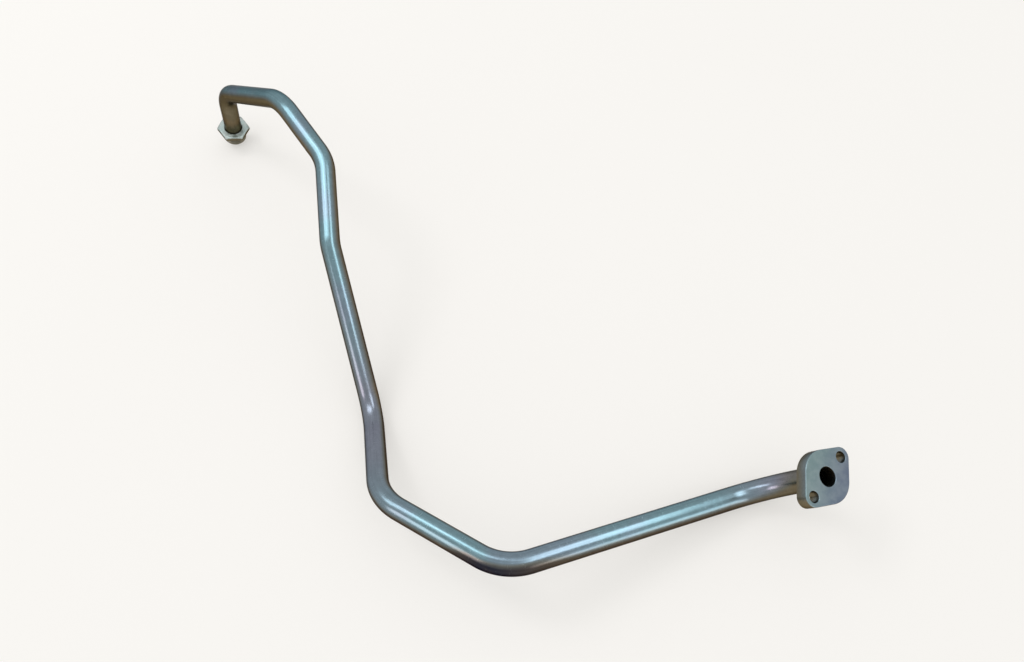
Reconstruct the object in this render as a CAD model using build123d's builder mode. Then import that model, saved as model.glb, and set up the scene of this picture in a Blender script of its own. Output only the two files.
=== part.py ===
from build123d import *
from math import pi, radians, tan
import os

os.makedirs("parts", exist_ok=True)

# A bent steel hydraulic line, lying at rest on the plane Z = 0, in millimetres.
# Its near end has a flange with two bolt holes, its far end a loose nut and a double cone ring.

# Tube
tube_od = 18.0
tube_wall = 1.5
bend_radius = 45.0
end_chamfer = 0.3

# Reach of the tube's centreline along X, Y and Z, from its end corners
route_length = 478.0
route_width = 546.0
route_height = 124.0

# Places of the centreline's corners, as shares of those three, from the open end to the flange's face
open_end_share = (-0.5128, 0.4907, 0.0231)
elbow_share = (-0.4690, 0.4628, 0.6289)
shoulder_share = (-0.3116, 0.3121, 1.0161)
upper_share = (-0.2404, 0.1922, 0.8387)
kink_share = (-0.2514, 0.0474, 0.6471)
floor_share = (-0.2283, -0.2039, 0.0365)
heel_share = (-0.2131, -0.3687, 0.3142)
front_share = (-0.0252, -0.5051, 0.3794)
flange_share = (0.4341, -0.4371, 0.0201)
port_share = (0.4881, -0.4680, 0.4789)

# Flange
flange_thickness = 10.0
flange_body_radius = 20.0
flange_edge_chamfer = 0.8
bolt_spacing = 42.0
bolt_hole_diameter = 8.4
bolt_lug_wall = 3.4
bolt_line_angle = 71.7
port_bore_diameter = 14.6
hole_chamfer = 0.4
socket_depth = 6.0
socket_clearance = 0.1

# Braze fillet in the corner between the flange's back and the tube
fillet_leg = 2.2
fillet_toe = 0.2
fillet_clearance = 0.04

# Double cone ring near the tube's open end
ring_setback = 0.2
ring_length = 4.8
ring_land = 1.0
ring_od = 21.0
ring_end_wall = 0.4
ring_clearance = 0.04

# Gland nut, a hexagon head on a threaded barrel
nut_length = 17.0
hex_height = 4.5
hex_across_flats = 30.0
hex_face_diameter = 28.6
hex_chamfer_angle = 30.0
hex_turn = 8.0
thread_diameter = 24.0
thread_relief_width = 1.5
thread_relief_depth = 1.1
nose_chamfer = 0.6
nut_bore_clearance = 0.15
nut_countersink = 1.5
nut_seat_gap = 0.12

# Values and planes that follow from the ones above
tube_radius = tube_od / 2
tube_bore = tube_od - 2 * tube_wall
vertical = Vector(0, 0, 1)


def place(share):
    """A corner of the centreline, from its shares of the route's length, width and height."""
    return Vector(share[0] * route_length, share[1] * route_width, share[2] * route_height)


def plane_across(point, direction, turn=0):
    """A plane at the point, square to the direction, with its X axis turned from the level."""
    level = direction.cross(vertical).normalized()
    return Plane(origin=point, x_dir=level.rotate(Axis(point, direction), turn), z_dir=direction)


def plane_along(point, direction):
    """A half-section plane at the point: X is the radius and Y runs in the direction."""
    level = direction.cross(vertical).normalized()
    return Plane(origin=point, x_dir=level, z_dir=level.cross(direction))


open_end = place(open_end_share)
elbow_corner = place(elbow_share)
flange_corner = place(flange_share)
port_centre = place(port_share)
leg_direction = (elbow_corner - open_end).normalized()
port_direction = (port_centre - flange_corner).normalized()
flange_back = port_centre - port_direction * flange_thickness
socket_floor = flange_back + port_direction * socket_depth
open_end_plane = plane_across(open_end, leg_direction)
leg_axis = Axis(open_end, leg_direction)
leg_section = plane_along(open_end, leg_direction)
port_axis = Axis(port_centre, port_direction)
port_plane = plane_across(port_centre, port_direction, bolt_line_angle)
bolt_lug_radius = bolt_hole_diameter / 2 + bolt_lug_wall

# The centreline runs from the open end to the floor of the flange's socket
corners = [
    open_end,
    elbow_corner,
    place(shoulder_share),
    place(upper_share),
    place(kink_share),
    place(floor_share),
    place(heel_share),
    place(front_share),
    flange_corner,
    socket_floor,
]

with BuildPart() as tube:
    with BuildLine() as centreline:
        FilletPolyline(*corners, radius=bend_radius)
    with BuildSketch(open_end_plane):
        Circle(tube_radius)
        Circle(tube_bore / 2, mode=Mode.SUBTRACT)
    sweep()
    rim = tube.faces().sort_by(leg_axis)[0]
    chamfer(rim.edges(), length=end_chamfer)

with BuildPart() as flange:
    with BuildSketch(port_plane):
        Circle(flange_body_radius)
        with Locations((0, bolt_spacing / 2), (0, -bolt_spacing / 2)):
            Circle(bolt_lug_radius)
        make_hull()
        with Locations((0, bolt_spacing / 2), (0, -bolt_spacing / 2)):
            Circle(bolt_hole_diameter / 2, mode=Mode.SUBTRACT)
        Circle(port_bore_diameter / 2, mode=Mode.SUBTRACT)
    extrude(amount=-flange_thickness)
    flat_faces = flange.faces().filter_by(port_plane).sort_by(port_axis)
    back_face, front_face = flat_faces[0], flat_faces[-1]
    chamfer(
        back_face.outer_wire().edges() + front_face.outer_wire().edges(),
        length=flange_edge_chamfer,
    )
    flat_faces = flange.faces().filter_by(port_plane).sort_by(port_axis)
    rims = [wire.edges() for face in flat_faces for wire in face.inner_wires()]
    chamfer(rims, length=hole_chamfer)
    with BuildSketch(plane_across(flange_back, port_direction)):
        Circle(tube_radius + socket_clearance)
    extrude(amount=socket_depth, mode=Mode.SUBTRACT)

with BuildPart() as braze_fillet:
    inner = tube_radius + fillet_clearance
    with BuildSketch(plane_along(flange_back, -port_direction)):
        with BuildLine():
            Polyline(
                (inner + fillet_toe, fillet_leg),
                (inner, fillet_leg),
                (inner, 0),
                (inner + fillet_leg, 0),
                (inner + fillet_leg, fillet_toe),
            )
            RadiusArc(
                (inner + fillet_leg, fillet_toe),
                (inner + fillet_toe, fillet_leg),
                fillet_leg - fillet_toe,
            )
        make_face()
    revolve(axis=port_axis)

# The ring's cones slope from its land to its two thin ends
cone_length = (ring_length - ring_land) / 2
ring_end_radius = tube_radius + ring_end_wall
cone_slope = (ring_od / 2 - ring_end_radius) / cone_length
land_top = ring_setback + cone_length + ring_land

with BuildPart() as cone_ring:
    inner = tube_radius + ring_clearance
    with BuildSketch(leg_section):
        with BuildLine():
            Polyline(
                (inner, ring_setback),
                (ring_end_radius, ring_setback),
                (ring_od / 2, ring_setback + cone_length),
                (ring_od / 2, land_top),
                (ring_end_radius, ring_setback + ring_length),
                (inner, ring_setback + ring_length),
                close=True,
            )
        make_face()
    revolve(axis=leg_axis)

# The nut's nose rests on the ring's upper cone, and its head is the end nearest the elbow
nose = land_top + nut_seat_gap
shoulder = nose + nut_length - hex_height
nut_back = nose + nut_length
nut_bore_radius = tube_radius + nut_bore_clearance
seat_depth = (ring_od / 2 - nut_bore_radius) / cone_slope
thread_radius = thread_diameter / 2
relief_radius = thread_radius - thread_relief_depth
relief_end = shoulder - thread_relief_width
hex_reach = hex_across_flats * 0.6
hex_rise = (hex_reach - hex_face_diameter / 2) * tan(radians(hex_chamfer_angle))

with BuildPart() as gland_nut:
    with BuildSketch(plane_across(open_end + leg_direction * shoulder, leg_direction, hex_turn)):
        RegularPolygon(hex_across_flats / 2, 6, major_radius=False)
    extrude(amount=hex_height)
    with BuildSketch(leg_section):
        with BuildLine():
            Polyline(
                (0, shoulder),
                (hex_reach, shoulder),
                (hex_reach, nut_back - hex_rise),
                (hex_face_diameter / 2, nut_back),
                (0, nut_back),
                close=True,
            )
        make_face()
    revolve(axis=leg_axis, mode=Mode.INTERSECT)
    with BuildSketch(leg_section):
        with BuildLine():
            Polyline(
                (0, nose),
                (thread_radius - nose_chamfer, nose),
                (thread_radius, nose + nose_chamfer),
                (thread_radius, relief_end),
                (relief_radius, relief_end),
                (relief_radius, shoulder),
                (0, shoulder),
                close=True,
            )
        make_face()
    revolve(axis=leg_axis)
    with BuildSketch(leg_section):
        with BuildLine():
            Polyline(
                (0, nose),
                (ring_od / 2, nose),
                (nut_bore_radius, nose + seat_depth),
                (nut_bore_radius, nut_back - nut_countersink),
                (nut_bore_radius + nut_countersink, nut_back),
                (0, nut_back),
                close=True,
            )
        make_face()
    revolve(axis=leg_axis, mode=Mode.SUBTRACT)

tube.part.label = "tube"
export_step(tube.part, "parts/tube.step")
flange.part.label = "flange"
export_step(flange.part, "parts/flange.step")
braze_fillet.part.label = "braze_fillet"
export_step(braze_fillet.part, "parts/braze_fillet.step")
cone_ring.part.label = "cone_ring"
export_step(cone_ring.part, "parts/cone_ring.step")
gland_nut.part.label = "gland_nut"
export_step(gland_nut.part, "parts/gland_nut.step")

centreline_length = sum(edge.length for edge in centreline.edges())
section_area = pi * (tube_radius**2 - (tube_bore / 2) ** 2)
print("tube volume", round(tube.part.volume, 1))
print("section times length", round(section_area * centreline_length, 1))
print("centreline length", round(centreline_length, 1))
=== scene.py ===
from math import atan2, ceil, cos, pi, radians, sin, sqrt, tan

import bpy
from mathutils import Matrix, Vector, noise


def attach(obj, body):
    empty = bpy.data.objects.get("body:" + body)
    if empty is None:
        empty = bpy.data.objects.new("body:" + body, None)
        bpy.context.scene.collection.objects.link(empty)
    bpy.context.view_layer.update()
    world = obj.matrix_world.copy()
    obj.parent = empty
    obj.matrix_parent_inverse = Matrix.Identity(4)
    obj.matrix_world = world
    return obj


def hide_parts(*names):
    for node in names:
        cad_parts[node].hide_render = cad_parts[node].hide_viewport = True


bl_info = {
    "name": "Hydraulic oil line",
    "version": (1, 0, 0),
    "blender": (4, 5, 0),
    "location": "View3D > Sidebar > Oil line",
    "description": "Builds a bent steel oil line with its flange, braze, cone ring and gland nut",
    "category": "Add Mesh",
}

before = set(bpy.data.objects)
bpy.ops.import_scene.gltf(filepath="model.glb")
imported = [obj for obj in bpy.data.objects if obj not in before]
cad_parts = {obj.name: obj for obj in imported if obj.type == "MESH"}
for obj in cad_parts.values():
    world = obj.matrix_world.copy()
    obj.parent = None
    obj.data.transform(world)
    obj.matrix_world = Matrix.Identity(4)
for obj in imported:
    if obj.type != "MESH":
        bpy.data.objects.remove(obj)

UP = Vector((0, 0, 1))

# Reach of the tube's centreline along X, Y and Z in metres, and its corners as shares of that
# reach, from the open end to the centre of the flange's face
ROUTE_REACH = (0.478, 0.546, 0.124)
ROUTE = {
    "open_end": (-0.5128, 0.4907, 0.0231),
    "elbow": (-0.4690, 0.4628, 0.6289),
    "shoulder": (-0.3116, 0.3121, 1.0161),
    "upper": (-0.2404, 0.1922, 0.8387),
    "kink": (-0.2514, 0.0474, 0.6471),
    "floor": (-0.2283, -0.2039, 0.0365),
    "heel": (-0.2131, -0.3687, 0.3142),
    "front": (-0.0252, -0.5051, 0.3794),
    "flange": (0.4341, -0.4371, 0.0201),
    "port": (0.4881, -0.4680, 0.4789),
}

# Direction towards which surfaces turn teal as painted sky reflection, and the direction that the
# front bend faces, where its painted shade falls
PAINTED_SKY_UP = (0.0, 0.1, 0.995)
FRONT = (0.0, -1.0, 0.0)

# How far a surface faces up where the painted brown shade below turns to the painted grey of the
# sides, and where grey turns to the crown's teal
PAINTED_UNDER_SHADE_BAND = (0.25, 0.56)
PAINTED_SIDE_SHADE_BAND = (0.42, 0.82)

# Painted sky reflection on the tube's crown and painted shade on its underside, by metres from its
# open end
CROWN_PAINTED_REFLECTION = (
    (0.00, "side"), (0.12, "crown"), (0.40, "crown"), (0.49, "slate"), (0.57, "slate"),
    (0.65, "crown"), (0.89, "crown"), (0.95, "slate"), (0.99, "gold"),
)
UNDER_PAINTED_SHADE = (
    (0.00, "under"), (0.20, "under"), (0.45, "painted_shade_umber"), (0.67, "painted_shade_umber"), (0.71, "painted_bend_shade"),
    (0.76, "painted_shade_umber"), (0.90, "painted_shade_umber"), (0.98, "under"),
)

# Where the painted shade of the front bend starts and ends, in metres from the tube's open end, and
# how much further up its front it reaches there
BEND_SHADE_START = (0.67, 0.70)
BEND_SHADE_END = (0.73, 0.78)
BEND_SHADE_REACH = 0.4

# Tints of the machined faces, from one side of the piece to the other, lighter on the first side
# and darker on the second as painted shade, and how far from its axis they are full
FLANGE_LIT_TO_SHADED = ((122, 144, 146), (104, 113, 134))
NUT_LIT_TO_SHADED = ((180, 196, 194), (164, 180, 178))
RING_LIT_TO_SHADED = ((156, 142, 104), (150, 138, 106))
TINT_REACH = 0.018

# How far a machined surface looks along its axis where its face's tints start and are full, and
# how sharp an edge is where its paleness, edge wear with painted highlight, starts and is full
FACE_BAND = (0.6, 0.95)
EDGE_WEAR_AND_SHEEN_BAND = (0.52, 0.6)

# The metal's reflection at a glancing angle
GLANCING_TINT = (0.34, 0.33, 0.33, 1.0)

# Thread: its depth as a share of its pitch, how steep its flanks are, how much of its crest stays
# flat, and the points in each pitch
THREAD_DEPTH = 0.61
THREAD_FLANK = 1.3
THREAD_LAND = 0.15
THREAD_POINTS = 12

# Forms of the nut that no setting gives, in metres, with the hexagon's rounded corner as a share of
# its width
HEX_CORNER = 0.5735
HEX_CHAMFER = radians(30)
NOSE_CHAMFER = 0.0009
RELIEF_DEPTH = 0.0011
SEAT_DEPTH = 0.00233
SEAT_RISE = 0.00135
COUNTERSINK = 0.0005
COUNTERSINK_MIDDLE = 0.0003

# Small breaks that soften an edge, and the rows of points beside the nut's edges that keep the pale
# edge wear and painted highlight on them narrow, in metres
HAIR = 0.0001
SOFT = 0.0002
FACE_DROP = 0.00008
SHOULDER_ROW = 0.0008
FLANK_ROW = 0.0006
FACE_ROW = 0.0007
BORE_ROW = 0.0011

# Braze: clearance round the tube in metres, steps in its arc, depth of its lumps as a share of its
# leg, how close together they are, and the slice of the noise that shapes them
BRAZE_GAP = 0.00002
BRAZE_STEPS = 8
LUMP_DEPTH = 0.22
LUMP_SCALE = 2.2
LUMP_SLICE = 0.4

# Floor's half width, and the camera's place, its tilt about X and its roll about its own view
FLOOR_REACH = 30.0
CAMERA_PLACE = (0.02582, -0.40864, 0.60967)
CAMERA_TILT = radians(30.446)
CAMERA_ROLL = radians(-10.538)

# Lamps that only the metal shows: name, place, aim, width, height, radiance and colour
COOL, PLAIN, WARM = (0.97, 1.0, 1.0), (1.0, 0.98, 1.0), (1.0, 0.81, 0.79)
STRIPS = (
    ("ceiling_left", (-0.5, 0.22, 0.95), (-0.5, 0.22, 0.0), 0.6, 0.34, 3.0, COOL),
    ("ceiling_right", (0.53, -0.1, 0.95), (0.53, -0.1, 0.0), 0.38, 0.8, 3.2, COOL),
    ("ceiling_middle", (-0.08, 0.25, 1.0), (-0.08, 0.25, 0.0), 0.4, 0.3, 2.6, COOL),
    ("front_left", (-1.1, -0.68, 0.8), (0.0, -0.2, 0.0), 0.6, 0.6, 2.9, WARM),
    ("front_right", (1.05, -1.4, 0.44), (0.2, -0.25, 0.0), 1.1, 0.6, 2.2, PLAIN),
)

# Lamp that the metal doesn't show, which casts the shadow on the floor
SHADOW_KEY = ("shadow_key", (-1.5, 1.35, 2.25), (0.0, 0.0, 0.0), 0.9, 0.9, 5.0, PLAIN)


def place(share):
    """A corner of the centreline in metres, from its shares of the route's reach."""
    return Vector([part * reach for part, reach in zip(share, ROUTE_REACH)])


CORNERS = {name: place(share) for name, share in ROUTE.items()}


def paint(red, green, blue):
    """A colour written as three levels out of 255, as Blender's linear colour."""
    levels = [level / 255 for level in (red, green, blue)]
    linear = [c / 12.92 if c <= 0.04045 else ((c + 0.055) / 1.055) ** 2.4 for c in levels]
    return (*linear, 1.0)


# Settings

def length_of(name, description, metres, smallest=0.0):
    """A size that the user can change, shown in the scene's unit."""
    return bpy.props.FloatProperty(
        name=name, description=description, default=metres, min=smallest, unit="LENGTH", precision=4
    )


def angle_of(name, description, degrees):
    """A turn that the user can change, shown in the scene's unit."""
    return bpy.props.FloatProperty(
        name=name, description=description, default=radians(degrees), subtype="ANGLE"
    )


def count_of(name, description, number, smallest):
    """A whole number that the user can change."""
    return bpy.props.IntProperty(name=name, description=description, default=number, min=smallest)


def share_of(name, description, value):
    """A share from zero to one that the user can change."""
    return bpy.props.FloatProperty(
        name=name, description=description, default=value, min=0.0, max=1.0, subtype="FACTOR"
    )


def colour_of(name, description, red, green, blue):
    """A colour that the user can change, written as three levels out of 255."""
    return bpy.props.FloatVectorProperty(
        name=name, description=description, default=paint(red, green, blue),
        size=4, min=0.0, max=1.0, subtype="COLOR",
    )


class TubeSettings(bpy.types.PropertyGroup):
    """Sizes of the bent tube."""

    outside: length_of("Outside diameter", "Diameter of the tube over its wall", 0.018, 0.002)
    wall: length_of("Wall", "Thickness of the tube's wall", 0.0015, 0.0003)
    bend: length_of("Bend radius", "Radius of every bend, at the centreline", 0.045, 0.01)
    mouth_chamfer: length_of("Mouth chamfer", "Chamfer on the rim of the cut end", 0.0003)
    bend_steps: count_of("Steps in a bend", "Rings along each bend", 26, 4)
    sides: count_of("Sides", "Faces round the tube", 80, 16)
    socket_depth: length_of("Socket depth", "How far the tube goes into the flange's back", 0.006)


class FlangeSettings(bpy.types.PropertyGroup):
    """Sizes of the two-bolt flange and of the braze behind it."""

    thickness: length_of("Thickness", "Thickness of the flange", 0.010, 0.002)
    body_radius: length_of("Body radius", "Radius of the middle of the outline", 0.020)
    lug_radius: length_of("Lug radius", "Radius of the outline round each bolt hole", 0.0076)
    bolt_spacing: length_of("Bolt spacing", "Distance between the two bolt holes", 0.042)
    bolt_hole: length_of("Bolt hole", "Diameter of a bolt hole", 0.0084)
    port: length_of("Port", "Diameter of the oil port", 0.0146)
    edge: length_of("Edge", "Rounding of the outer and hole edges", 0.0007)
    turn: angle_of("Turn", "Turn of the bolt line about the port", 71.7)
    braze_leg: length_of("Braze leg", "Height of the braze on the tube and on the flange", 0.0022)


class NutSettings(bpy.types.PropertyGroup):
    """Sizes of the gland nut, measured from the tube's open end."""

    nose: length_of("Nose", "Distance from the tube's end to the nut's nose", 0.00322)
    length: length_of("Length", "Length of the whole nut", 0.017, 0.005)
    head: length_of("Head height", "Height of the hexagon head", 0.0045, 0.001)
    across_flats: length_of("Across flats", "Width of the hexagon over its flats", 0.030, 0.01)
    face: length_of("Face diameter", "Flat part of the head's face, inside its chamfer", 0.0286)
    thread: length_of("Thread diameter", "Outside diameter of the thread", 0.024)
    pitch: length_of("Pitch", "Advance of the thread in one turn", 0.0015, 0.0005)
    relief: length_of("Relief width", "Plain groove between the thread and the head", 0.0015)
    bore: length_of("Bore", "Diameter of the plain bore round the tube", 0.0183)
    turn: angle_of("Turn", "Turn of the hexagon about the tube", 8.0)


class FinishSettings(bpy.types.PropertyGroup):
    """Colours and gloss of the zinc plating and the braze, with the painted reflection and shade
    laid over the plating.
    """

    # Crown and slate are painted sky reflection, side is painted grey, and under, umber and ink are
    # painted shade, all laid on the plating's film; violet and gold are the film's own tints.
    crown: colour_of("Crown", "Teal film on surfaces that face up", 110, 138, 148)
    slate: colour_of("Slate", "Bluish grey film on the low middle run", 118, 125, 138)
    side: colour_of("Side", "Grey film low on the sides", 104, 106, 102)
    under: colour_of("Underside", "Olive brown film on surfaces that face down", 114, 105, 85)
    painted_shade_umber: colour_of("Umber", "Darker brown film under the front runs", 88, 79, 68)
    painted_bend_shade: colour_of("Ink", "Dark blue film on the front bend's lower side", 36, 40, 54)
    violet: colour_of("Violet tint", "Violet in the plating's film", 124, 122, 144)
    gold: colour_of("Gold tint", "Gold in the plating's film", 132, 108, 78)
    pale: colour_of("Pale patches", "Whitish bloom on the machined faces", 178, 188, 186)
    braze: colour_of("Braze", "Brazing metal under the plating", 150, 118, 78)
    gloss: share_of("Tube roughness", "Roughness of the drawn tube", 0.25)
    machined: share_of("Machined roughness", "Roughness of the turned and milled faces", 0.34)


class StageSettings(bpy.types.PropertyGroup):
    """Floor, lamps and camera."""

    floor: colour_of("Floor", "Colour of the floor", 246, 244, 240)
    room: bpy.props.FloatProperty(
        name="Room light", description="Strength of the even light", default=0.95
    )
    focal: bpy.props.FloatProperty(
        name="Focal length", description="Lens in millimetres", default=26.558, unit="CAMERA"
    )


# Frames that the pieces are built in: Z runs along the tube, and X is level

def level_frame(point, direction, turn=0.0):
    """A matrix whose Z axis is the direction and whose X axis is level, then turned about Z."""
    z = direction.normalized()
    level = z.cross(UP).normalized()
    axes = Matrix((level, z.cross(level), z)).transposed().to_4x4()
    return Matrix.Translation(point) @ axes @ Matrix.Rotation(turn, 4, "Z")


def leg_frame(turn=0.0):
    """The frame of the tube's open end, with Z running up the leg."""
    return level_frame(CORNERS["open_end"], CORNERS["elbow"] - CORNERS["open_end"], turn)


def port_frame(turn=0.0):
    """The frame of the flange's face, with Z running out of the port."""
    return level_frame(CORNERS["port"], CORNERS["port"] - CORNERS["flange"], turn)


# Node helpers

def add(tree, kind, inputs=None, **settings):
    """Adds a node, sets its settings, and sets or links its inputs."""
    node = tree.nodes.new(kind)
    for name, value in settings.items():
        setattr(node, name, value)
    for socket, value in (inputs or {}).items():
        if isinstance(value, bpy.types.NodeSocket):
            tree.links.new(value, node.inputs[socket])
        else:
            node.inputs[socket].default_value = value
    return node


def math_of(tree, operation, *values):
    """The result of a Math node on the values."""
    return add(tree, "ShaderNodeMath", dict(enumerate(values)), operation=operation).outputs[0]


def blend(tree, share, under, over, blend_type="MIX"):
    """A colour mixed from two others by a share. A Mix node keeps its colours at 6 and 7."""
    node = add(
        tree, "ShaderNodeMix", {0: share, 6: under, 7: over},
        data_type="RGBA", blend_type=blend_type,
    )
    return node.outputs[2]


def shaded(tree, colour, shade):
    """The colour made a little darker or lighter by a shade near one."""
    grey = add(tree, "ShaderNodeCombineColor", {0: shade, 1: shade, 2: shade}).outputs[0]
    return blend(tree, 1.0, colour, grey, "MULTIPLY")


def between(tree, value, low, high, start=0.0, end=1.0):
    """The value, run smoothly from start to end as it goes from low to high."""
    node = add(
        tree, "ShaderNodeMapRange",
        {"Value": value, "From Min": low, "From Max": high, "To Min": start, "To Max": end},
        interpolation_type="SMOOTHSTEP",
    )
    return node.outputs[0]


def cloud(tree, places, scale, detail=3.0, roughness=0.55):
    """A noise value over the given coordinates."""
    node = add(
        tree, "ShaderNodeTexNoise",
        {"Vector": places, "Scale": scale, "Detail": detail, "Roughness": roughness},
    )
    return node.outputs["Fac"]


def stretched(tree, places, scale):
    """Coordinates stretched by a different amount on each axis."""
    return add(tree, "ShaderNodeMapping", {"Vector": places, "Scale": scale}).outputs[0]


def places_of(tree):
    """The coordinates of the object, which stay with the piece as it moves."""
    return add(tree, "ShaderNodeTexCoord").outputs["Object"]


def facing_of(tree, direction):
    """How far the surface faces along a direction, from minus one to one."""
    normal = add(tree, "ShaderNodeTexCoord").outputs["Normal"]
    product = add(
        tree, "ShaderNodeVectorMath", {0: normal, 1: direction}, operation="DOT_PRODUCT"
    )
    return product.outputs["Value"]


# Materials

def film_with_painted_reflection(tree, finish, places, crown, under, bend_shade=0.0):
    """The plating's film, with painted reflection and shade: teal on top, grey on the sides and the
    under tint below.

    Clouds of violet and gold in the film drift over it, and the painted shade of the front bend
    brings the lower tints further up.
    """
    wander = math_of(tree, "SUBTRACT", cloud(tree, places, scale=26.0), 0.5)
    # Painted light: surfaces facing up keep the teal as painted sky reflection, and those facing
    # down take painted grey and brown shade.
    facing = math_of(tree, "MULTIPLY_ADD", wander, 0.12, facing_of(tree, PAINTED_SKY_UP))
    facing = math_of(tree, "SUBTRACT", facing, bend_shade)
    violet = cloud(tree, places, scale=13.0, detail=2.0)
    film = blend(tree, between(tree, violet, 0.46, 0.64, end=0.35), crown, tuple(finish.violet))
    film = blend(tree, between(tree, facing, *PAINTED_SIDE_SHADE_BAND), tuple(finish.side), film)
    film = blend(tree, between(tree, facing, *PAINTED_UNDER_SHADE_BAND), under, film)
    gold = cloud(tree, stretched(tree, places, (1.0, 1.3, 0.8)), scale=23.0, detail=2.0)
    gold = between(tree, gold, 0.54, 0.7, end=0.25)
    low = between(tree, facing, 0.8, 0.4, start=0.1)
    return blend(tree, math_of(tree, "MULTIPLY", gold, low), film, tuple(finish.gold))


def painted_light_along(tree, along, finish, tints):
    """The film's painted reflection and shade as they change along the tube from the open end to
    the flange.
    """
    ramp = add(tree, "ShaderNodeValToRGB", {0: along})
    elements = ramp.color_ramp.elements
    while len(elements) < len(tints):
        elements.new(0.5)
    for element, (metres, tint) in zip(elements, tints):
        element.position = metres
        element.color = getattr(finish, tint)
    return ramp.outputs[0]


def new_material(name):
    """An empty node material, and its tree."""
    material = bpy.data.materials.new(name)
    material.use_nodes = True
    material.node_tree.nodes.clear()
    return material, material.node_tree


def metal(tree, colour, roughness, bump, depth, bare=1.0):
    """The metal shader over a fine relief, and how bare of bloom the metal is."""
    relief = add(tree, "ShaderNodeBump", {"Height": bump, "Distance": depth, "Strength": 1.0})
    shader = add(
        tree, "ShaderNodeBsdfPrincipled",
        {
            "Base Color": colour, "Roughness": roughness, "Normal": relief.outputs[0],
            "Metallic": bare, "Specular Tint": GLANCING_TINT,
        },
    )
    add(tree, "ShaderNodeOutputMaterial", {0: shader.outputs[0]})


def drawn_tube_finish(finish):
    """Zinc plating on drawn tube, with painted reflection and shade: fine lines along it, specks,
    and light scuffs across it.
    """
    material, tree = new_material("plated_drawn_tube")
    unrolled = add(tree, "ShaderNodeAttribute", attribute_name="unrolled").outputs["Vector"]
    places = places_of(tree)
    along = add(tree, "ShaderNodeSeparateXYZ", {0: unrolled}).outputs[2]
    # Painted light: the crown's painted reflection and the underside's painted shade change from
    # run to run.
    crown = painted_light_along(tree, along, finish, CROWN_PAINTED_REFLECTION)
    under = painted_light_along(tree, along, finish, UNDER_PAINTED_SHADE)
    # Painted shade: the lower front of the front bend turns dark blue, standing in for the
    # reflection of a dark thing.
    bend_shade = between(tree, along, *BEND_SHADE_START, end=BEND_SHADE_REACH)
    bend_shade = math_of(tree, "MULTIPLY", bend_shade, between(tree, along, *BEND_SHADE_END, start=1.0, end=0.0))
    bend_shade = math_of(tree, "MULTIPLY", bend_shade, between(tree, facing_of(tree, FRONT), -0.05, 0.45))
    film = film_with_painted_reflection(tree, finish, places, crown, under, bend_shade)
    lines = stretched(tree, unrolled, (900.0, 900.0, 14.0))
    lines = cloud(tree, lines, scale=1.0, detail=4.0, roughness=0.6)
    mottle = cloud(tree, places, scale=210.0, detail=4.0, roughness=0.65)
    scuffs = cloud(tree, stretched(tree, unrolled, (120.0, 120.0, 900.0)), scale=1.0, detail=2.0)
    scuffs = between(tree, scuffs, 0.66, 0.74)
    specks = between(tree, cloud(tree, places, scale=900.0, detail=2.0), 0.7, 0.78)
    shade = math_of(
        tree, "ADD",
        between(tree, lines, 0.25, 0.75, -0.1, 0.1), between(tree, mottle, 0.3, 0.7, 0.94, 1.06),
    )
    film = shaded(tree, film, shade)
    film = blend(tree, math_of(tree, "MULTIPLY", specks, 0.45), film, tuple(finish.pale))
    film = blend(tree, math_of(tree, "MULTIPLY", scuffs, 0.04), film, tuple(finish.pale))
    roughness = math_of(tree, "MULTIPLY_ADD", mottle, 0.12, finish.gloss - 0.06)
    roughness = math_of(tree, "MULTIPLY_ADD", scuffs, 0.05, roughness)
    ripple = cloud(tree, places, scale=120.0, detail=2.0)
    height = math_of(tree, "MULTIPLY_ADD", lines, 0.5, ripple)
    metal(tree, film, roughness, height, depth=0.000012)
    return material


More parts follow.
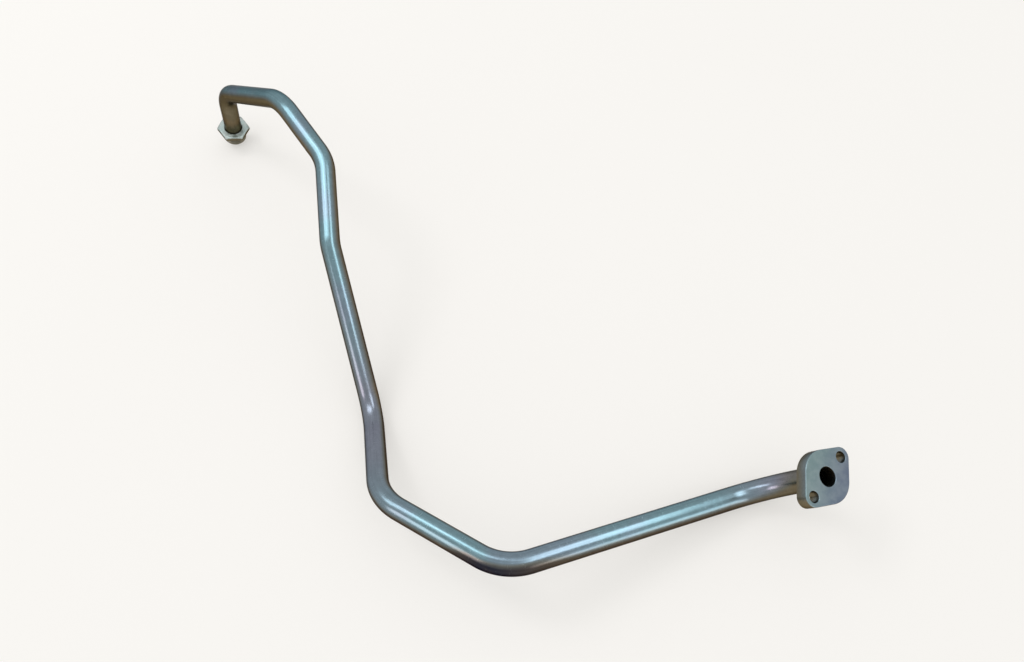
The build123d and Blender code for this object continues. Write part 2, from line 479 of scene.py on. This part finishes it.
def turned_face_finish(
    name, finish, frame_matrix, tints, patch_scale, bloom, edge_wear_and_sheen, brown=0.0, above=-1.0
):
    """Plating on a turned or milled piece: rings round its axis, a mottled bloom, pale sharp edges,
    and painted shade.

    Faces that look along the frame's Z take the tints and the bloom if they lie over the height
    given as above; across a face the tints darken as painted shade. Brown is how far the rest
    takes the under tint as painted shade, and the edge share is how pale the sharp edges are,
    as edge wear and painted highlight.
    """
    material, tree = new_material(name)
    places = places_of(tree)
    centred = add(
        tree, "ShaderNodeMapping",
        {
            "Vector": places, "Location": frame_matrix.translation,
            "Rotation": frame_matrix.to_euler(),
        },
        vector_type="TEXTURE",
    ).outputs[0]
    film = film_with_painted_reflection(tree, finish, places, tuple(finish.crown), tuple(finish.under))
    x, y, z = add(tree, "ShaderNodeSeparateXYZ", {0: centred}).outputs
    across = add(tree, "ShaderNodeCombineXYZ", {0: x, 1: y}).outputs[0]
    radius = add(tree, "ShaderNodeVectorMath", {0: across}, operation="LENGTH").outputs["Value"]
    rings = add(tree, "ShaderNodeCombineXYZ", {0: radius, 1: z}).outputs[0]
    rings = cloud(tree, stretched(tree, rings, (2600.0, 2600.0, 1.0)), scale=1.0, detail=2.0)
    patches = cloud(tree, centred, patch_scale, detail=5.0, roughness=0.62)
    grains = cloud(tree, places, scale=700.0, detail=3.0, roughness=0.6)
    shade = math_of(
        tree, "ADD",
        between(tree, rings, 0.3, 0.7, -0.05, 0.05), between(tree, grains, 0.25, 0.75, 0.9, 1.1),
    )
    film = shaded(tree, film, shade)
    flat = between(tree, facing_of(tree, tuple(frame_matrix.col[2].xyz)), *FACE_BAND)
    flat = math_of(tree, "MULTIPLY", flat, between(tree, z, above, above + 0.0006))
    # Painted shade: the face runs from a lighter tint on one side to a darker one on the other.
    lit_side_tint, shaded_side_tint = [paint(*levels) for levels in tints]
    tint = blend(tree, between(tree, y, -TINT_REACH, TINT_REACH), lit_side_tint, shaded_side_tint)
    film = blend(tree, math_of(tree, "MULTIPLY", flat, 0.8), film, tint)
    # Painted shade: away from its face, the piece takes the brown under tint by the brown share.
    painted_shade_share = math_of(tree, "MULTIPLY_ADD", flat, -brown, brown)
    film = blend(tree, painted_shade_share, film, tuple(finish.under))
    bloomed = math_of(tree, "MULTIPLY", between(tree, patches, 0.36, 0.62, end=bloom), flat)
    film = blend(tree, bloomed, film, tuple(finish.pale))
    edges = add(tree, "ShaderNodeNewGeometry").outputs["Pointiness"]
    # Sharp edges turn pale: edge wear, and a painted highlight along the rims.
    film = blend(tree, between(tree, edges, *EDGE_WEAR_AND_SHEEN_BAND, end=edge_wear_and_sheen), film, tuple(finish.pale))
    roughness = math_of(tree, "MULTIPLY_ADD", patches, 0.24, finish.machined - 0.12)
    roughness = math_of(tree, "MULTIPLY_ADD", bloomed, 0.2, roughness)
    height = math_of(tree, "MULTIPLY_ADD", rings, 0.4, grains)
    bare = math_of(tree, "MULTIPLY_ADD", bloomed, -0.6, 1.0)
    metal(tree, film, roughness, height, depth=0.00002, bare=bare)
    return material


def braze_finish(finish):
    """Brazing metal under a thin film: gold brown, lumpy, with darker flux marks."""
    material, tree = new_material("plated_braze")
    places = places_of(tree)
    film = film_with_painted_reflection(tree, finish, places, tuple(finish.crown), tuple(finish.under))
    marks = cloud(tree, places, scale=260.0, detail=4.0, roughness=0.6)
    colour = blend(tree, between(tree, marks, 0.35, 0.6, 0.35, 0.85), film, tuple(finish.braze))
    dark = cloud(tree, places, scale=520.0, detail=2.0)
    colour = blend(tree, between(tree, dark, 0.6, 0.75, end=0.5), colour, tuple(finish.under))
    roughness = between(tree, marks, 0.3, 0.7, 0.28, 0.5)
    metal(tree, colour, roughness, marks, depth=0.00015)
    return material


def floor_finish(stage):
    """A matt pale floor with the faintest unevenness, shown half lit and half at its own colour."""
    material, tree = new_material("pale_floor")
    flecks = between(tree, cloud(tree, places_of(tree), scale=3.0), 0.3, 0.7, end=0.02)
    colour = blend(tree, flecks, tuple(stage.floor), (0.8, 0.78, 0.75, 1.0))
    lit = add(tree, "ShaderNodeBsdfDiffuse", {"Color": colour}).outputs[0]
    plain = add(tree, "ShaderNodeEmission", {"Color": colour}).outputs[0]
    share = math_of(tree, "MULTIPLY", seen_directly(tree), 0.5)
    floor = add(tree, "ShaderNodeMixShader", {0: share, 1: lit, 2: plain})
    add(tree, "ShaderNodeOutputMaterial", {0: floor.outputs[0]})
    return material


# Mesh helpers

def linked_object(name, data):
    """A new object at the origin, in the scene."""
    thing = bpy.data.objects.new(name, data)
    bpy.context.scene.collection.objects.link(thing)
    return thing


def finished_object(name, mesh, material, crease=30.0):
    """An object at the origin that holds the mesh, smooth except at its sharp edges."""
    mesh.materials.clear()
    mesh.materials.append(material)
    piece = linked_object(name, mesh)
    mesh.polygons.foreach_set("use_smooth", [True] * len(mesh.polygons))
    mesh.set_sharp_from_angle(angle=radians(crease))
    return piece


def turned_mesh(name, section_at, matrix, sides):
    """A closed mesh turned about Z. The section is a loop of (radius, height) for each angle."""
    points, faces = [], []
    for side in range(sides):
        angle = 2 * pi * side / sides
        section = section_at(angle)
        points += [matrix @ Vector((r * cos(angle), r * sin(angle), z)) for r, z in section]
    rows = len(section)
    for side in range(sides):
        here, there = side * rows, (side + 1) % sides * rows
        for row in range(rows):
            after = (row + 1) % rows
            faces.append((here + row, there + row, there + after, here + after))
    mesh = bpy.data.meshes.new(name)
    mesh.from_pydata(points, [], faces)
    mesh.validate()
    return mesh


def plain_mesh(piece):
    """The object's finished shape as a plain mesh. The object itself is removed."""
    graph = bpy.context.evaluated_depsgraph_get()
    mesh = bpy.data.meshes.new_from_object(piece.evaluated_get(graph), depsgraph=graph)
    name = piece.name
    bpy.data.objects.remove(piece)
    if not mesh.polygons:
        raise RuntimeError(f"The shape of {name} came out empty")
    return mesh


# Tube

def bent_tube_tree(material):
    """The node tree that rounds the route's corners and sweeps a ring along it.

    It stores the place round and along the tube on every point, as the attribute unrolled.
    """
    tree = bpy.data.node_groups.new("Bent tube", "GeometryNodeTree")
    tree.is_modifier = True
    sockets = tree.interface
    inputs = {}
    sockets.new_socket("Route", in_out="INPUT", socket_type="NodeSocketGeometry")
    for name, kind in (
        ("Outside radius", "NodeSocketFloat"), ("Bend radius", "NodeSocketFloat"),
        ("Bend steps", "NodeSocketInt"), ("Sides", "NodeSocketInt"),
    ):
        inputs[name] = sockets.new_socket(name, in_out="INPUT", socket_type=kind).identifier
    sockets.new_socket("Tube", in_out="OUTPUT", socket_type="NodeSocketGeometry")

    def stored(geometry, name, value, kind):
        """The geometry with a named value on its points."""
        return add(
            tree, "GeometryNodeStoreNamedAttribute",
            {"Geometry": geometry, "Name": name, "Value": value}, data_type=kind, domain="POINT",
        ).outputs[0]

    def read(name, kind):
        """The named value of each point."""
        return add(
            tree, "GeometryNodeInputNamedAttribute", {"Name": name}, data_type=kind
        ).outputs[0]

    given = add(tree, "NodeGroupInput").outputs
    route = add(tree, "GeometryNodeMeshToCurve", {"Mesh": given["Route"]})
    bends = add(
        tree, "GeometryNodeFilletCurve",
        {
            "Curve": route.outputs[0], "Radius": given["Bend radius"],
            "Count": given["Bend steps"],
        },
        mode="POLY",
    )
    ring = add(
        tree, "GeometryNodeCurvePrimitiveCircle",
        {"Resolution": given["Sides"], "Radius": given["Outside radius"]}, mode="RADIUS",
    )
    metres = add(tree, "GeometryNodeSplineParameter").outputs["Length"]
    round_places = add(tree, "GeometryNodeInputPosition").outputs[0]
    sweep = add(
        tree, "GeometryNodeCurveToMesh",
        {
            "Curve": stored(bends.outputs[0], "along", metres, "FLOAT"),
            "Profile Curve": stored(ring.outputs[0], "unrolled", round_places, "FLOAT_VECTOR"),
            "Fill Caps": False,
        },
    )
    x, y, _ = add(tree, "ShaderNodeSeparateXYZ", {0: read("unrolled", "FLOAT_VECTOR")}).outputs
    unrolled = add(tree, "ShaderNodeCombineXYZ", {0: x, 1: y, 2: read("along", "FLOAT")})
    tube = stored(sweep.outputs[0], "unrolled", unrolled.outputs[0], "FLOAT_VECTOR")
    smooth = add(tree, "GeometryNodeSetShadeSmooth", {"Geometry": tube})
    real = add(tree, "GeometryNodeRealizeInstances", {"Geometry": smooth.outputs[0]})
    finish = add(
        tree, "GeometryNodeSetMaterial", {"Geometry": real.outputs[0], "Material": material}
    )
    add(tree, "NodeGroupOutput", {0: finish.outputs[0]})
    return tree, inputs


class OILLINE_OT_tube(bpy.types.Operator):
    """Sweeps the bent tube along its route and gives it its wall and mouth"""

    bl_idname = "oilline.tube"
    bl_label = "Bent tube"

    def execute(self, context):
        sizes = context.scene.oil_line_tube
        flange = context.scene.oil_line_flange
        material = drawn_tube_finish(context.scene.oil_line_finish)
        run = (CORNERS["port"] - CORNERS["flange"]).normalized()
        points = list(CORNERS.values())[:-1]
        points.append(CORNERS["port"] - run * (flange.thickness - sizes.socket_depth))
        route = bpy.data.meshes.new("tube_route")
        route.from_pydata(points, [(i, i + 1) for i in range(len(points) - 1)], [])
        swept = linked_object("tube_route", route)
        tree, inputs = bent_tube_tree(material)
        modifier = swept.modifiers.new("Bent tube", "NODES")
        modifier.node_group = tree
        modifier[inputs["Outside radius"]] = sizes.outside / 2
        modifier[inputs["Bend radius"]] = sizes.bend
        modifier[inputs["Bend steps"]] = sizes.bend_steps
        modifier[inputs["Sides"]] = sizes.sides
        shell = linked_object("tube_shell", plain_mesh(swept))
        wall = shell.modifiers.new("Wall", "SOLIDIFY")
        wall.thickness = sizes.wall
        wall.offset = -1.0
        wall.use_rim = True
        mouth = shell.modifiers.new("Mouth", "BEVEL")
        mouth.width = sizes.mouth_chamfer
        mouth.segments = 2
        mouth.limit_method = "ANGLE"
        mouth.angle_limit = radians(60)
        piece = finished_object("bent_tube", plain_mesh(shell), material)
        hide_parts("tube")
        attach(piece, "line")
        return {"FINISHED"}


# Flange and braze

def flange_outline(body, lug, half_spacing, steps=40):
    """The flange's outline: a body arc on each side, lug arcs round the bolts, straight sides."""
    slope = atan2(body - lug, sqrt(half_spacing**2 - (body - lug) ** 2))
    outline = []
    for start, middle in ((0.0, half_spacing), (pi, -half_spacing)):
        for step in range(steps + 1):
            angle = start - slope + 2 * slope * step / steps
            outline.append((body * cos(angle), body * sin(angle)))
        for step in range(steps + 1):
            angle = start + slope + (pi - 2 * slope) * step / steps
            outline.append((lug * cos(angle), middle + lug * sin(angle)))
    return outline


def circle_points(radius, height, steps=64):
    """A circle of points about the flange's bolt line, at a height along it."""
    angles = [2 * pi * i / steps for i in range(steps)]
    return [(radius * cos(angle), height + radius * sin(angle)) for angle in angles]


class OILLINE_OT_flange(bpy.types.Operator):
    """Cuts the flange's plate with its port and bolt holes, and rounds its edges"""

    bl_idname = "oilline.flange"
    bl_label = "Flange"

    def execute(self, context):
        sizes = context.scene.oil_line_flange
        half = sizes.bolt_spacing / 2
        plate = bpy.data.curves.new("flange_plate", "CURVE")
        plate.dimensions = "2D"
        plate.fill_mode = "BOTH"
        plate.extrude = sizes.thickness / 2 - sizes.edge
        plate.bevel_depth = sizes.edge
        plate.bevel_resolution = 2
        plate.offset = -sizes.edge
        loops = (
            flange_outline(sizes.body_radius, sizes.lug_radius, half),
            circle_points(sizes.port / 2, 0.0),
            circle_points(sizes.bolt_hole / 2, half),
            circle_points(sizes.bolt_hole / 2, -half),
        )
        for loop in loops:
            spline = plate.splines.new("POLY")
            spline.points.add(len(loop) - 1)
            for point, (x, y) in zip(spline.points, loop):
                point.co = (x, y, 0, 1)
            spline.use_cyclic_u = True
        mesh = plain_mesh(linked_object("flange_plate", plate))
        middle = Matrix.Translation((0, 0, -sizes.thickness / 2))
        mesh.transform(port_frame(sizes.turn) @ middle)
        # The flange's face darkens from one side to the other as painted shade.
        material = turned_face_finish(
            "plated_flange", context.scene.oil_line_finish, port_frame(), FLANGE_LIT_TO_SHADED,
            patch_scale=90.0, bloom=0.16, edge_wear_and_sheen=0.6,
        )
        piece = finished_object("bolt_flange", mesh, material, crease=24.0)
        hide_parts("flange")
        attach(piece, "line")
        return {"FINISHED"}


class OILLINE_OT_braze(bpy.types.Operator):
    """Lays the braze's fillet in the corner between the tube and the flange's back"""

    bl_idname = "oilline.braze"
    bl_label = "Braze"

    def execute(self, context):
        sizes = context.scene.oil_line_flange
        inner = context.scene.oil_line_tube.outside / 2 + BRAZE_GAP
        back = -sizes.thickness

        def section(angle):
            """The bead's hollow section, which swells and shrinks a little round the tube."""
            lump = noise.noise((LUMP_SCALE * cos(angle), LUMP_SCALE * sin(angle), LUMP_SLICE))
            reach = sizes.braze_leg * (1.0 + LUMP_DEPTH * lump)
            arc = []
            for step in range(BRAZE_STEPS, -1, -1):
                turn = pi / 2 * step / BRAZE_STEPS
                arc.append((
                    inner + reach * (1 - sin(turn)) + HAIR, back - reach * (1 - cos(turn)) - HAIR
                ))
            return [(inner, back - reach - HAIR), *arc, (inner, back)]

        mesh = turned_mesh("braze_bead", section, port_frame(), sides=96)
        material = braze_finish(context.scene.oil_line_finish)
        piece = finished_object("braze_bead", mesh, material, crease=50.0)
        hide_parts("braze_fillet")
        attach(piece, "line")
        return {"FINISHED"}


# Nut and ring

class OILLINE_OT_nut(bpy.types.Operator):
    """Turns the gland nut with its thread, relief, hexagon head and chamfers"""

    bl_idname = "oilline.nut"
    bl_label = "Gland nut"

    def execute(self, context):
        sizes = context.scene.oil_line_nut
        nose, back = sizes.nose, sizes.nose + sizes.length
        shoulder = back - sizes.head
        relief = shoulder - sizes.relief
        bore, crest = sizes.bore / 2, sizes.thread / 2
        root = crest - RELIEF_DEPTH
        depth = sizes.pitch * THREAD_DEPTH
        flat_face = sizes.face / 2
        steps = ceil((relief - nose) / (sizes.pitch / THREAD_POINTS))

        def section(angle):
            """The nut's section at an angle: thread, relief, head, bore and cone seat."""
            wedge = (angle + pi / 6) % (pi / 3) - pi / 6
            flat = sizes.across_flats / 2 / cos(pi / 6 - abs(wedge))
            corner = min(flat, sizes.across_flats * HEX_CORNER)
            top = back - (corner - flat_face) * tan(HEX_CHAMFER)
            thread = []
            for step in range(steps + 1):
                z = nose + (relief - nose) * step / steps
                phase = (z / sizes.pitch - angle / (2 * pi)) % 1.0
                cut = min(1.0, max(0.0, abs(2 * phase - 1) * THREAD_FLANK - THREAD_LAND))
                radius = min(crest - depth * cut, crest - NOSE_CHAMFER + (z - nose))
                thread.append((radius, z))
            head = [
                (root, relief + HAIR), (root, shoulder),
                (corner - SHOULDER_ROW, shoulder), (corner - SOFT, shoulder),
                (corner, shoulder + SOFT), (corner, shoulder + SHOULDER_ROW),
                (corner, top - FLANK_ROW), (corner, top - HAIR), (corner - HAIR, top),
                (flat_face + HAIR, back - FACE_DROP), (flat_face - HAIR, back),
                (flat_face - FACE_ROW, back),
            ]
            inside = [
                (bore + BORE_ROW, back), (bore + COUNTERSINK, back),
                (bore + COUNTERSINK_MIDDLE, back - HAIR), (bore, back - COUNTERSINK),
                (bore, nose + SEAT_DEPTH), (bore + SEAT_RISE, nose),
            ]
            return thread + head + inside

        mesh = turned_mesh("gland_nut_threaded", section, leg_frame(sizes.turn), sides=180)
        # Painted shade: the nut's thread, flanks and bore take the brown under tint, leaving its
        # face light.
        material = turned_face_finish(
            "plated_nut", context.scene.oil_line_finish, leg_frame(), NUT_LIT_TO_SHADED,
            patch_scale=190.0, bloom=0.95, edge_wear_and_sheen=0.15, brown=0.75, above=back - 0.003,
        )
        piece = finished_object("gland_nut_threaded", mesh, material, crease=28.0)
        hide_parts("gland_nut")
        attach(piece, "nut")
        return {"FINISHED"}


class OILLINE_OT_ring(bpy.types.Operator):
    """Gives the double cone ring its turned, yellow plated finish"""

    bl_idname = "oilline.ring"
    bl_label = "Cone ring"

    def execute(self, context):
        material = turned_face_finish(
            "plated_ring", context.scene.oil_line_finish, leg_frame(), RING_LIT_TO_SHADED,
            patch_scale=160.0, bloom=0.2, edge_wear_and_sheen=0.3,
        )
        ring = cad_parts["cone_ring"]
        for slot in ring.material_slots:
            slot.material = material
        return {"FINISHED"}


# Stage

def soft_lamp(name, place, aim, width, height, radiance, colour):
    """A rectangular lamp at a place, turned towards another, with a given radiance all over it."""
    light = bpy.data.lights.new(name, "AREA")
    light.shape = "RECTANGLE"
    light.size = width
    light.size_y = height
    light.energy = radiance * pi * width * height
    light.color = colour
    lamp = linked_object(name, light)
    lamp.location = place
    lamp.rotation_mode = "QUATERNION"
    lamp.rotation_quaternion = (Vector(place) - Vector(aim)).to_track_quat("Z", "Y")
    lamp.visible_camera = False
    return lamp


def seen_directly(tree):
    """One for rays from the camera and from mirror-like surfaces, and zero for the light itself."""
    rays = add(tree, "ShaderNodeLightPath").outputs
    both = math_of(tree, "MAXIMUM", rays["Is Camera Ray"], rays["Is Glossy Ray"])
    return math_of(tree, "MAXIMUM", both, rays["Is Transmission Ray"])


def even_room(stage):
    """A world that lights evenly and shows the floor's colour where it is seen."""
    world = bpy.data.worlds.new("room")
    world.use_nodes = True
    tree = world.node_tree
    tree.nodes.clear()
    level = (stage.room, stage.room, stage.room, 1.0)
    shown = blend(tree, seen_directly(tree), level, tuple(stage.floor))
    light = add(tree, "ShaderNodeBackground", {"Color": shown})
    add(tree, "ShaderNodeOutputWorld", {0: light.outputs[0]})
    return world


class OILLINE_OT_stage(bpy.types.Operator):
    """Lays the pale floor and sets the room light, the lamps and the camera"""

    bl_idname = "oilline.stage"
    bl_label = "Floor, lamps and camera"

    def execute(self, context):
        stage = context.scene.oil_line_stage
        scene = context.scene
        scene.view_settings.view_transform = "Standard"
        scene.world = even_room(stage)

        mesh = bpy.data.meshes.new("floor")
        sides = ((-1, -1), (1, -1), (1, 1), (-1, 1))
        corners = [(x * FLOOR_REACH, y * FLOOR_REACH, 0) for x, y in sides]
        mesh.from_pydata(corners, [], [(0, 1, 2, 3)])
        mesh.materials.append(floor_finish(stage))
        floor = linked_object("floor", mesh)

        for strip in STRIPS:
            soft_lamp(*strip).visible_diffuse = False
        soft_lamp(*SHADOW_KEY).visible_glossy = False

        camera = linked_object("camera", bpy.data.cameras.new("camera"))
        camera.data.sensor_width = 36.0
        camera.data.lens = stage.focal
        camera.data.clip_start = 0.01
        camera.matrix_world = (
            Matrix.Translation(CAMERA_PLACE)
            @ Matrix.Rotation(CAMERA_TILT, 4, "X")
            @ Matrix.Rotation(CAMERA_ROLL, 4, "Z")
        )
        scene.camera = camera
        return {"FINISHED"}


class OILLINE_PT_panel(bpy.types.Panel):
    """The oil line's pieces and their settings"""

    bl_idname = "OILLINE_PT_panel"
    bl_label = "Oil line"
    bl_space_type = "VIEW_3D"
    bl_region_type = "UI"
    bl_category = "Oil line"

    def draw(self, context):
        for operator, settings in BUTTONS:
            box = self.layout.box()
            box.operator(operator.bl_idname)
            if settings:
                group = getattr(context.scene, settings)
                for name in group.bl_rna.properties.keys():
                    if name not in {"rna_type", "name"}:
                        box.prop(group, name)


# Settings, by the name that the scene keeps them under
GROUPS = {
    "oil_line_tube": TubeSettings,
    "oil_line_flange": FlangeSettings,
    "oil_line_nut": NutSettings,
    "oil_line_finish": FinishSettings,
    "oil_line_stage": StageSettings,
}

# The panel's buttons, each with the settings shown below it
BUTTONS = (
    (OILLINE_OT_tube, "oil_line_tube"),
    (OILLINE_OT_flange, "oil_line_flange"),
    (OILLINE_OT_braze, None),
    (OILLINE_OT_nut, "oil_line_nut"),
    (OILLINE_OT_ring, "oil_line_finish"),
    (OILLINE_OT_stage, "oil_line_stage"),
)


def register():
    """Adds the settings, the operators and the panel."""
    for name, group in GROUPS.items():
        bpy.utils.register_class(group)
        setattr(bpy.types.Scene, name, bpy.props.PointerProperty(type=group))
    for operator, _ in BUTTONS:
        bpy.utils.register_class(operator)
    bpy.utils.register_class(OILLINE_PT_panel)


def unregister():
    """Takes the panel, the operators and the settings away again."""
    bpy.utils.unregister_class(OILLINE_PT_panel)
    for operator, _ in reversed(BUTTONS):
        bpy.utils.unregister_class(operator)
    for name, group in reversed(GROUPS.items()):
        delattr(bpy.types.Scene, name)
        bpy.utils.unregister_class(group)


def main():
    """Builds the whole scene."""
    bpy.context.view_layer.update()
    register()
    bpy.ops.oilline.tube()
    bpy.ops.oilline.flange()
    bpy.ops.oilline.braze()
    bpy.ops.oilline.nut()
    bpy.ops.oilline.ring()
    bpy.ops.oilline.stage()


if __name__ == "__main__":
    main()
